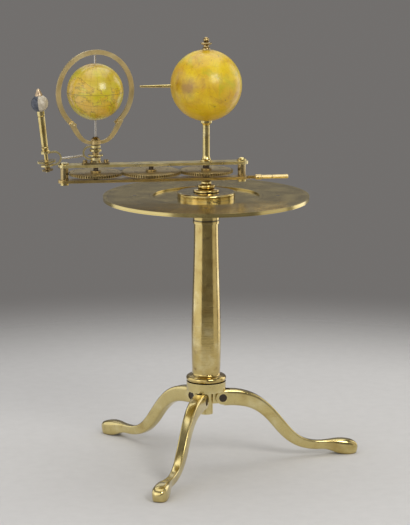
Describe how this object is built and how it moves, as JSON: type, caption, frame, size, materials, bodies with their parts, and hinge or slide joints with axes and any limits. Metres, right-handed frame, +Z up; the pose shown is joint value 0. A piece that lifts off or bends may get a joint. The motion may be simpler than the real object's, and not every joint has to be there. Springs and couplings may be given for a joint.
{
  "type": "tellurion",
  "caption": "Brass tellurion on a tripod column: a geared arm turns over a round table, carrying sun and earth balls and a swinging moon.",
  "frame": {"origin": "on the column's axis, in the plane of the three soles", "axes": "+Z up along the column; the arm lies along X with its earth end towards -X; +Y away from the picture's viewer"},
  "size_m": [0.4097, 0.3418, 0.5339],
  "materials": {
    "lacquered_brass": "polished and lacquered",
    "pale_brass": "satin",
    "dark_steel": "dark satin",
    "bright_steel": "bright satin",
    "sun_varnish": "painted and varnished",
    "globe_paper": "papered and varnished",
    "moon_paint": "painted, half dark and half pale"
  },
  "bodies": {
    "stand": {"leg_hub": "lacquered_brass", "leg_hinge_pins": "dark_steel", "tie_rod": "dark_steel", "column": "lacquered_brass", "table_socket": "lacquered_brass", "table_screws": "dark_steel", "table_plate": "lacquered_brass", "scale_ring": "pale_brass", "scale_ring_screws": "dark_steel", "hub_disc": "lacquered_brass", "hub_boss": "lacquered_brass", "centre_arbor": "dark_steel", "centre_wheel": "pale_brass"},
    "leg_right": {"leg_right": "lacquered_brass"},
    "leg_left": {"leg_left": "lacquered_brass"},
    "leg_front": {"leg_front": "lacquered_brass"},
    "arm": {"arm_lower_bar": "lacquered_brass", "arm_upper_bar": "lacquered_brass", "sun_end_pillar": "lacquered_brass", "earth_end_pillar": "lacquered_brass", "pillar_cap_nuts": "lacquered_brass", "pillar_foot_nuts": "lacquered_brass", "handle": "lacquered_brass", "handle_pin": "dark_steel", "sun_post": "lacquered_brass", "sun_rod": "dark_steel", "sun_ball": "sun_varnish", "sun_finial": "lacquered_brass", "sun_pointer": "lacquered_brass", "spindle_bearing": "lacquered_brass", "bearing_screws": "lacquered_brass", "spindle_wide_ring": "lacquered_brass", "spindle_narrow_ring": "lacquered_brass"},
    "idler": {"idler_wheel": "pale_brass", "idler_arbor": "dark_steel"},
    "earth_spindle": {"earth_wheel": "pale_brass", "earth_arbor": "dark_steel", "spindle_head": "lacquered_brass", "ring_fork": "lacquered_brass", "ring_rivets": "lacquered_brass", "meridian_ring": "lacquered_brass"},
    "globe": {"globe_ball": "globe_paper", "globe_axis": "bright_steel"},
    "moon_arm": {"moon_inner_yoke": "lacquered_brass", "moon_rod": "bright_steel", "moon_outer_yoke": "lacquered_brass"},
    "moon": {"moon_post": "lacquered_brass", "moon_ball": "moon_paint", "moon_pin": "dark_steel", "moon_cap": "lacquered_brass", "moon_finger_wheel": "lacquered_brass", "moon_nut": "lacquered_brass"}
  },
  "joints": [
    {"name": "arm_turn", "type": "hinge", "parent": "stand", "child": "arm", "pos_m": [0, 0, 0.3581], "axis": [0, 0, 1], "continuous": true},
    {"name": "idler_turn", "type": "hinge", "parent": "arm", "child": "idler", "pos_m": [-0.068, 0, 0.3581], "axis": [0, 0, 1], "continuous": true},
    {"name": "earth_turn", "type": "hinge", "parent": "arm", "child": "earth_spindle", "pos_m": [-0.136, 0, 0.3581], "axis": [0, 0, 1], "continuous": true},
    {"name": "globe_spin", "type": "hinge", "parent": "earth_spindle", "child": "globe", "pos_m": [-0.136, 0, 0.4691], "axis": [0, 0, 1], "continuous": true},
    {"name": "moon_arm_turn", "type": "hinge", "parent": "arm", "child": "moon_arm", "pos_m": [-0.136, 0, 0.3946], "axis": [0, 0, 1], "range_deg": [-150, 150]},
    {"name": "moon_turn", "type": "hinge", "parent": "moon_arm", "child": "moon", "pos_m": [-0.1964, 0, 0.3878], "axis": [-0.1045, 0, 0.9945], "continuous": true},
    {"name": "leg_right_fold", "type": "hinge", "parent": "stand", "child": "leg_right", "pos_m": [0.01992, 0.00174, 0.082], "axis": [-0.0872, 0.9962, 0], "range_deg": [0, 60]},
    {"name": "leg_left_fold", "type": "hinge", "parent": "stand", "child": "leg_left", "pos_m": [-0.01147, 0.01638, 0.082], "axis": [-0.8192, -0.5736, 0], "range_deg": [0, 60]},
    {"name": "leg_front_fold", "type": "hinge", "parent": "stand", "child": "leg_front", "pos_m": [-0.00845, -0.01813, 0.082], "axis": [0.9063, -0.4226, 0], "range_deg": [0, 60]}
  ],
  "couplings": [
    {"joint": "idler_turn", "follows": "arm_turn", "ratio": 0.88889},
    {"joint": "earth_turn", "follows": "arm_turn", "ratio": -1}
  ]
}
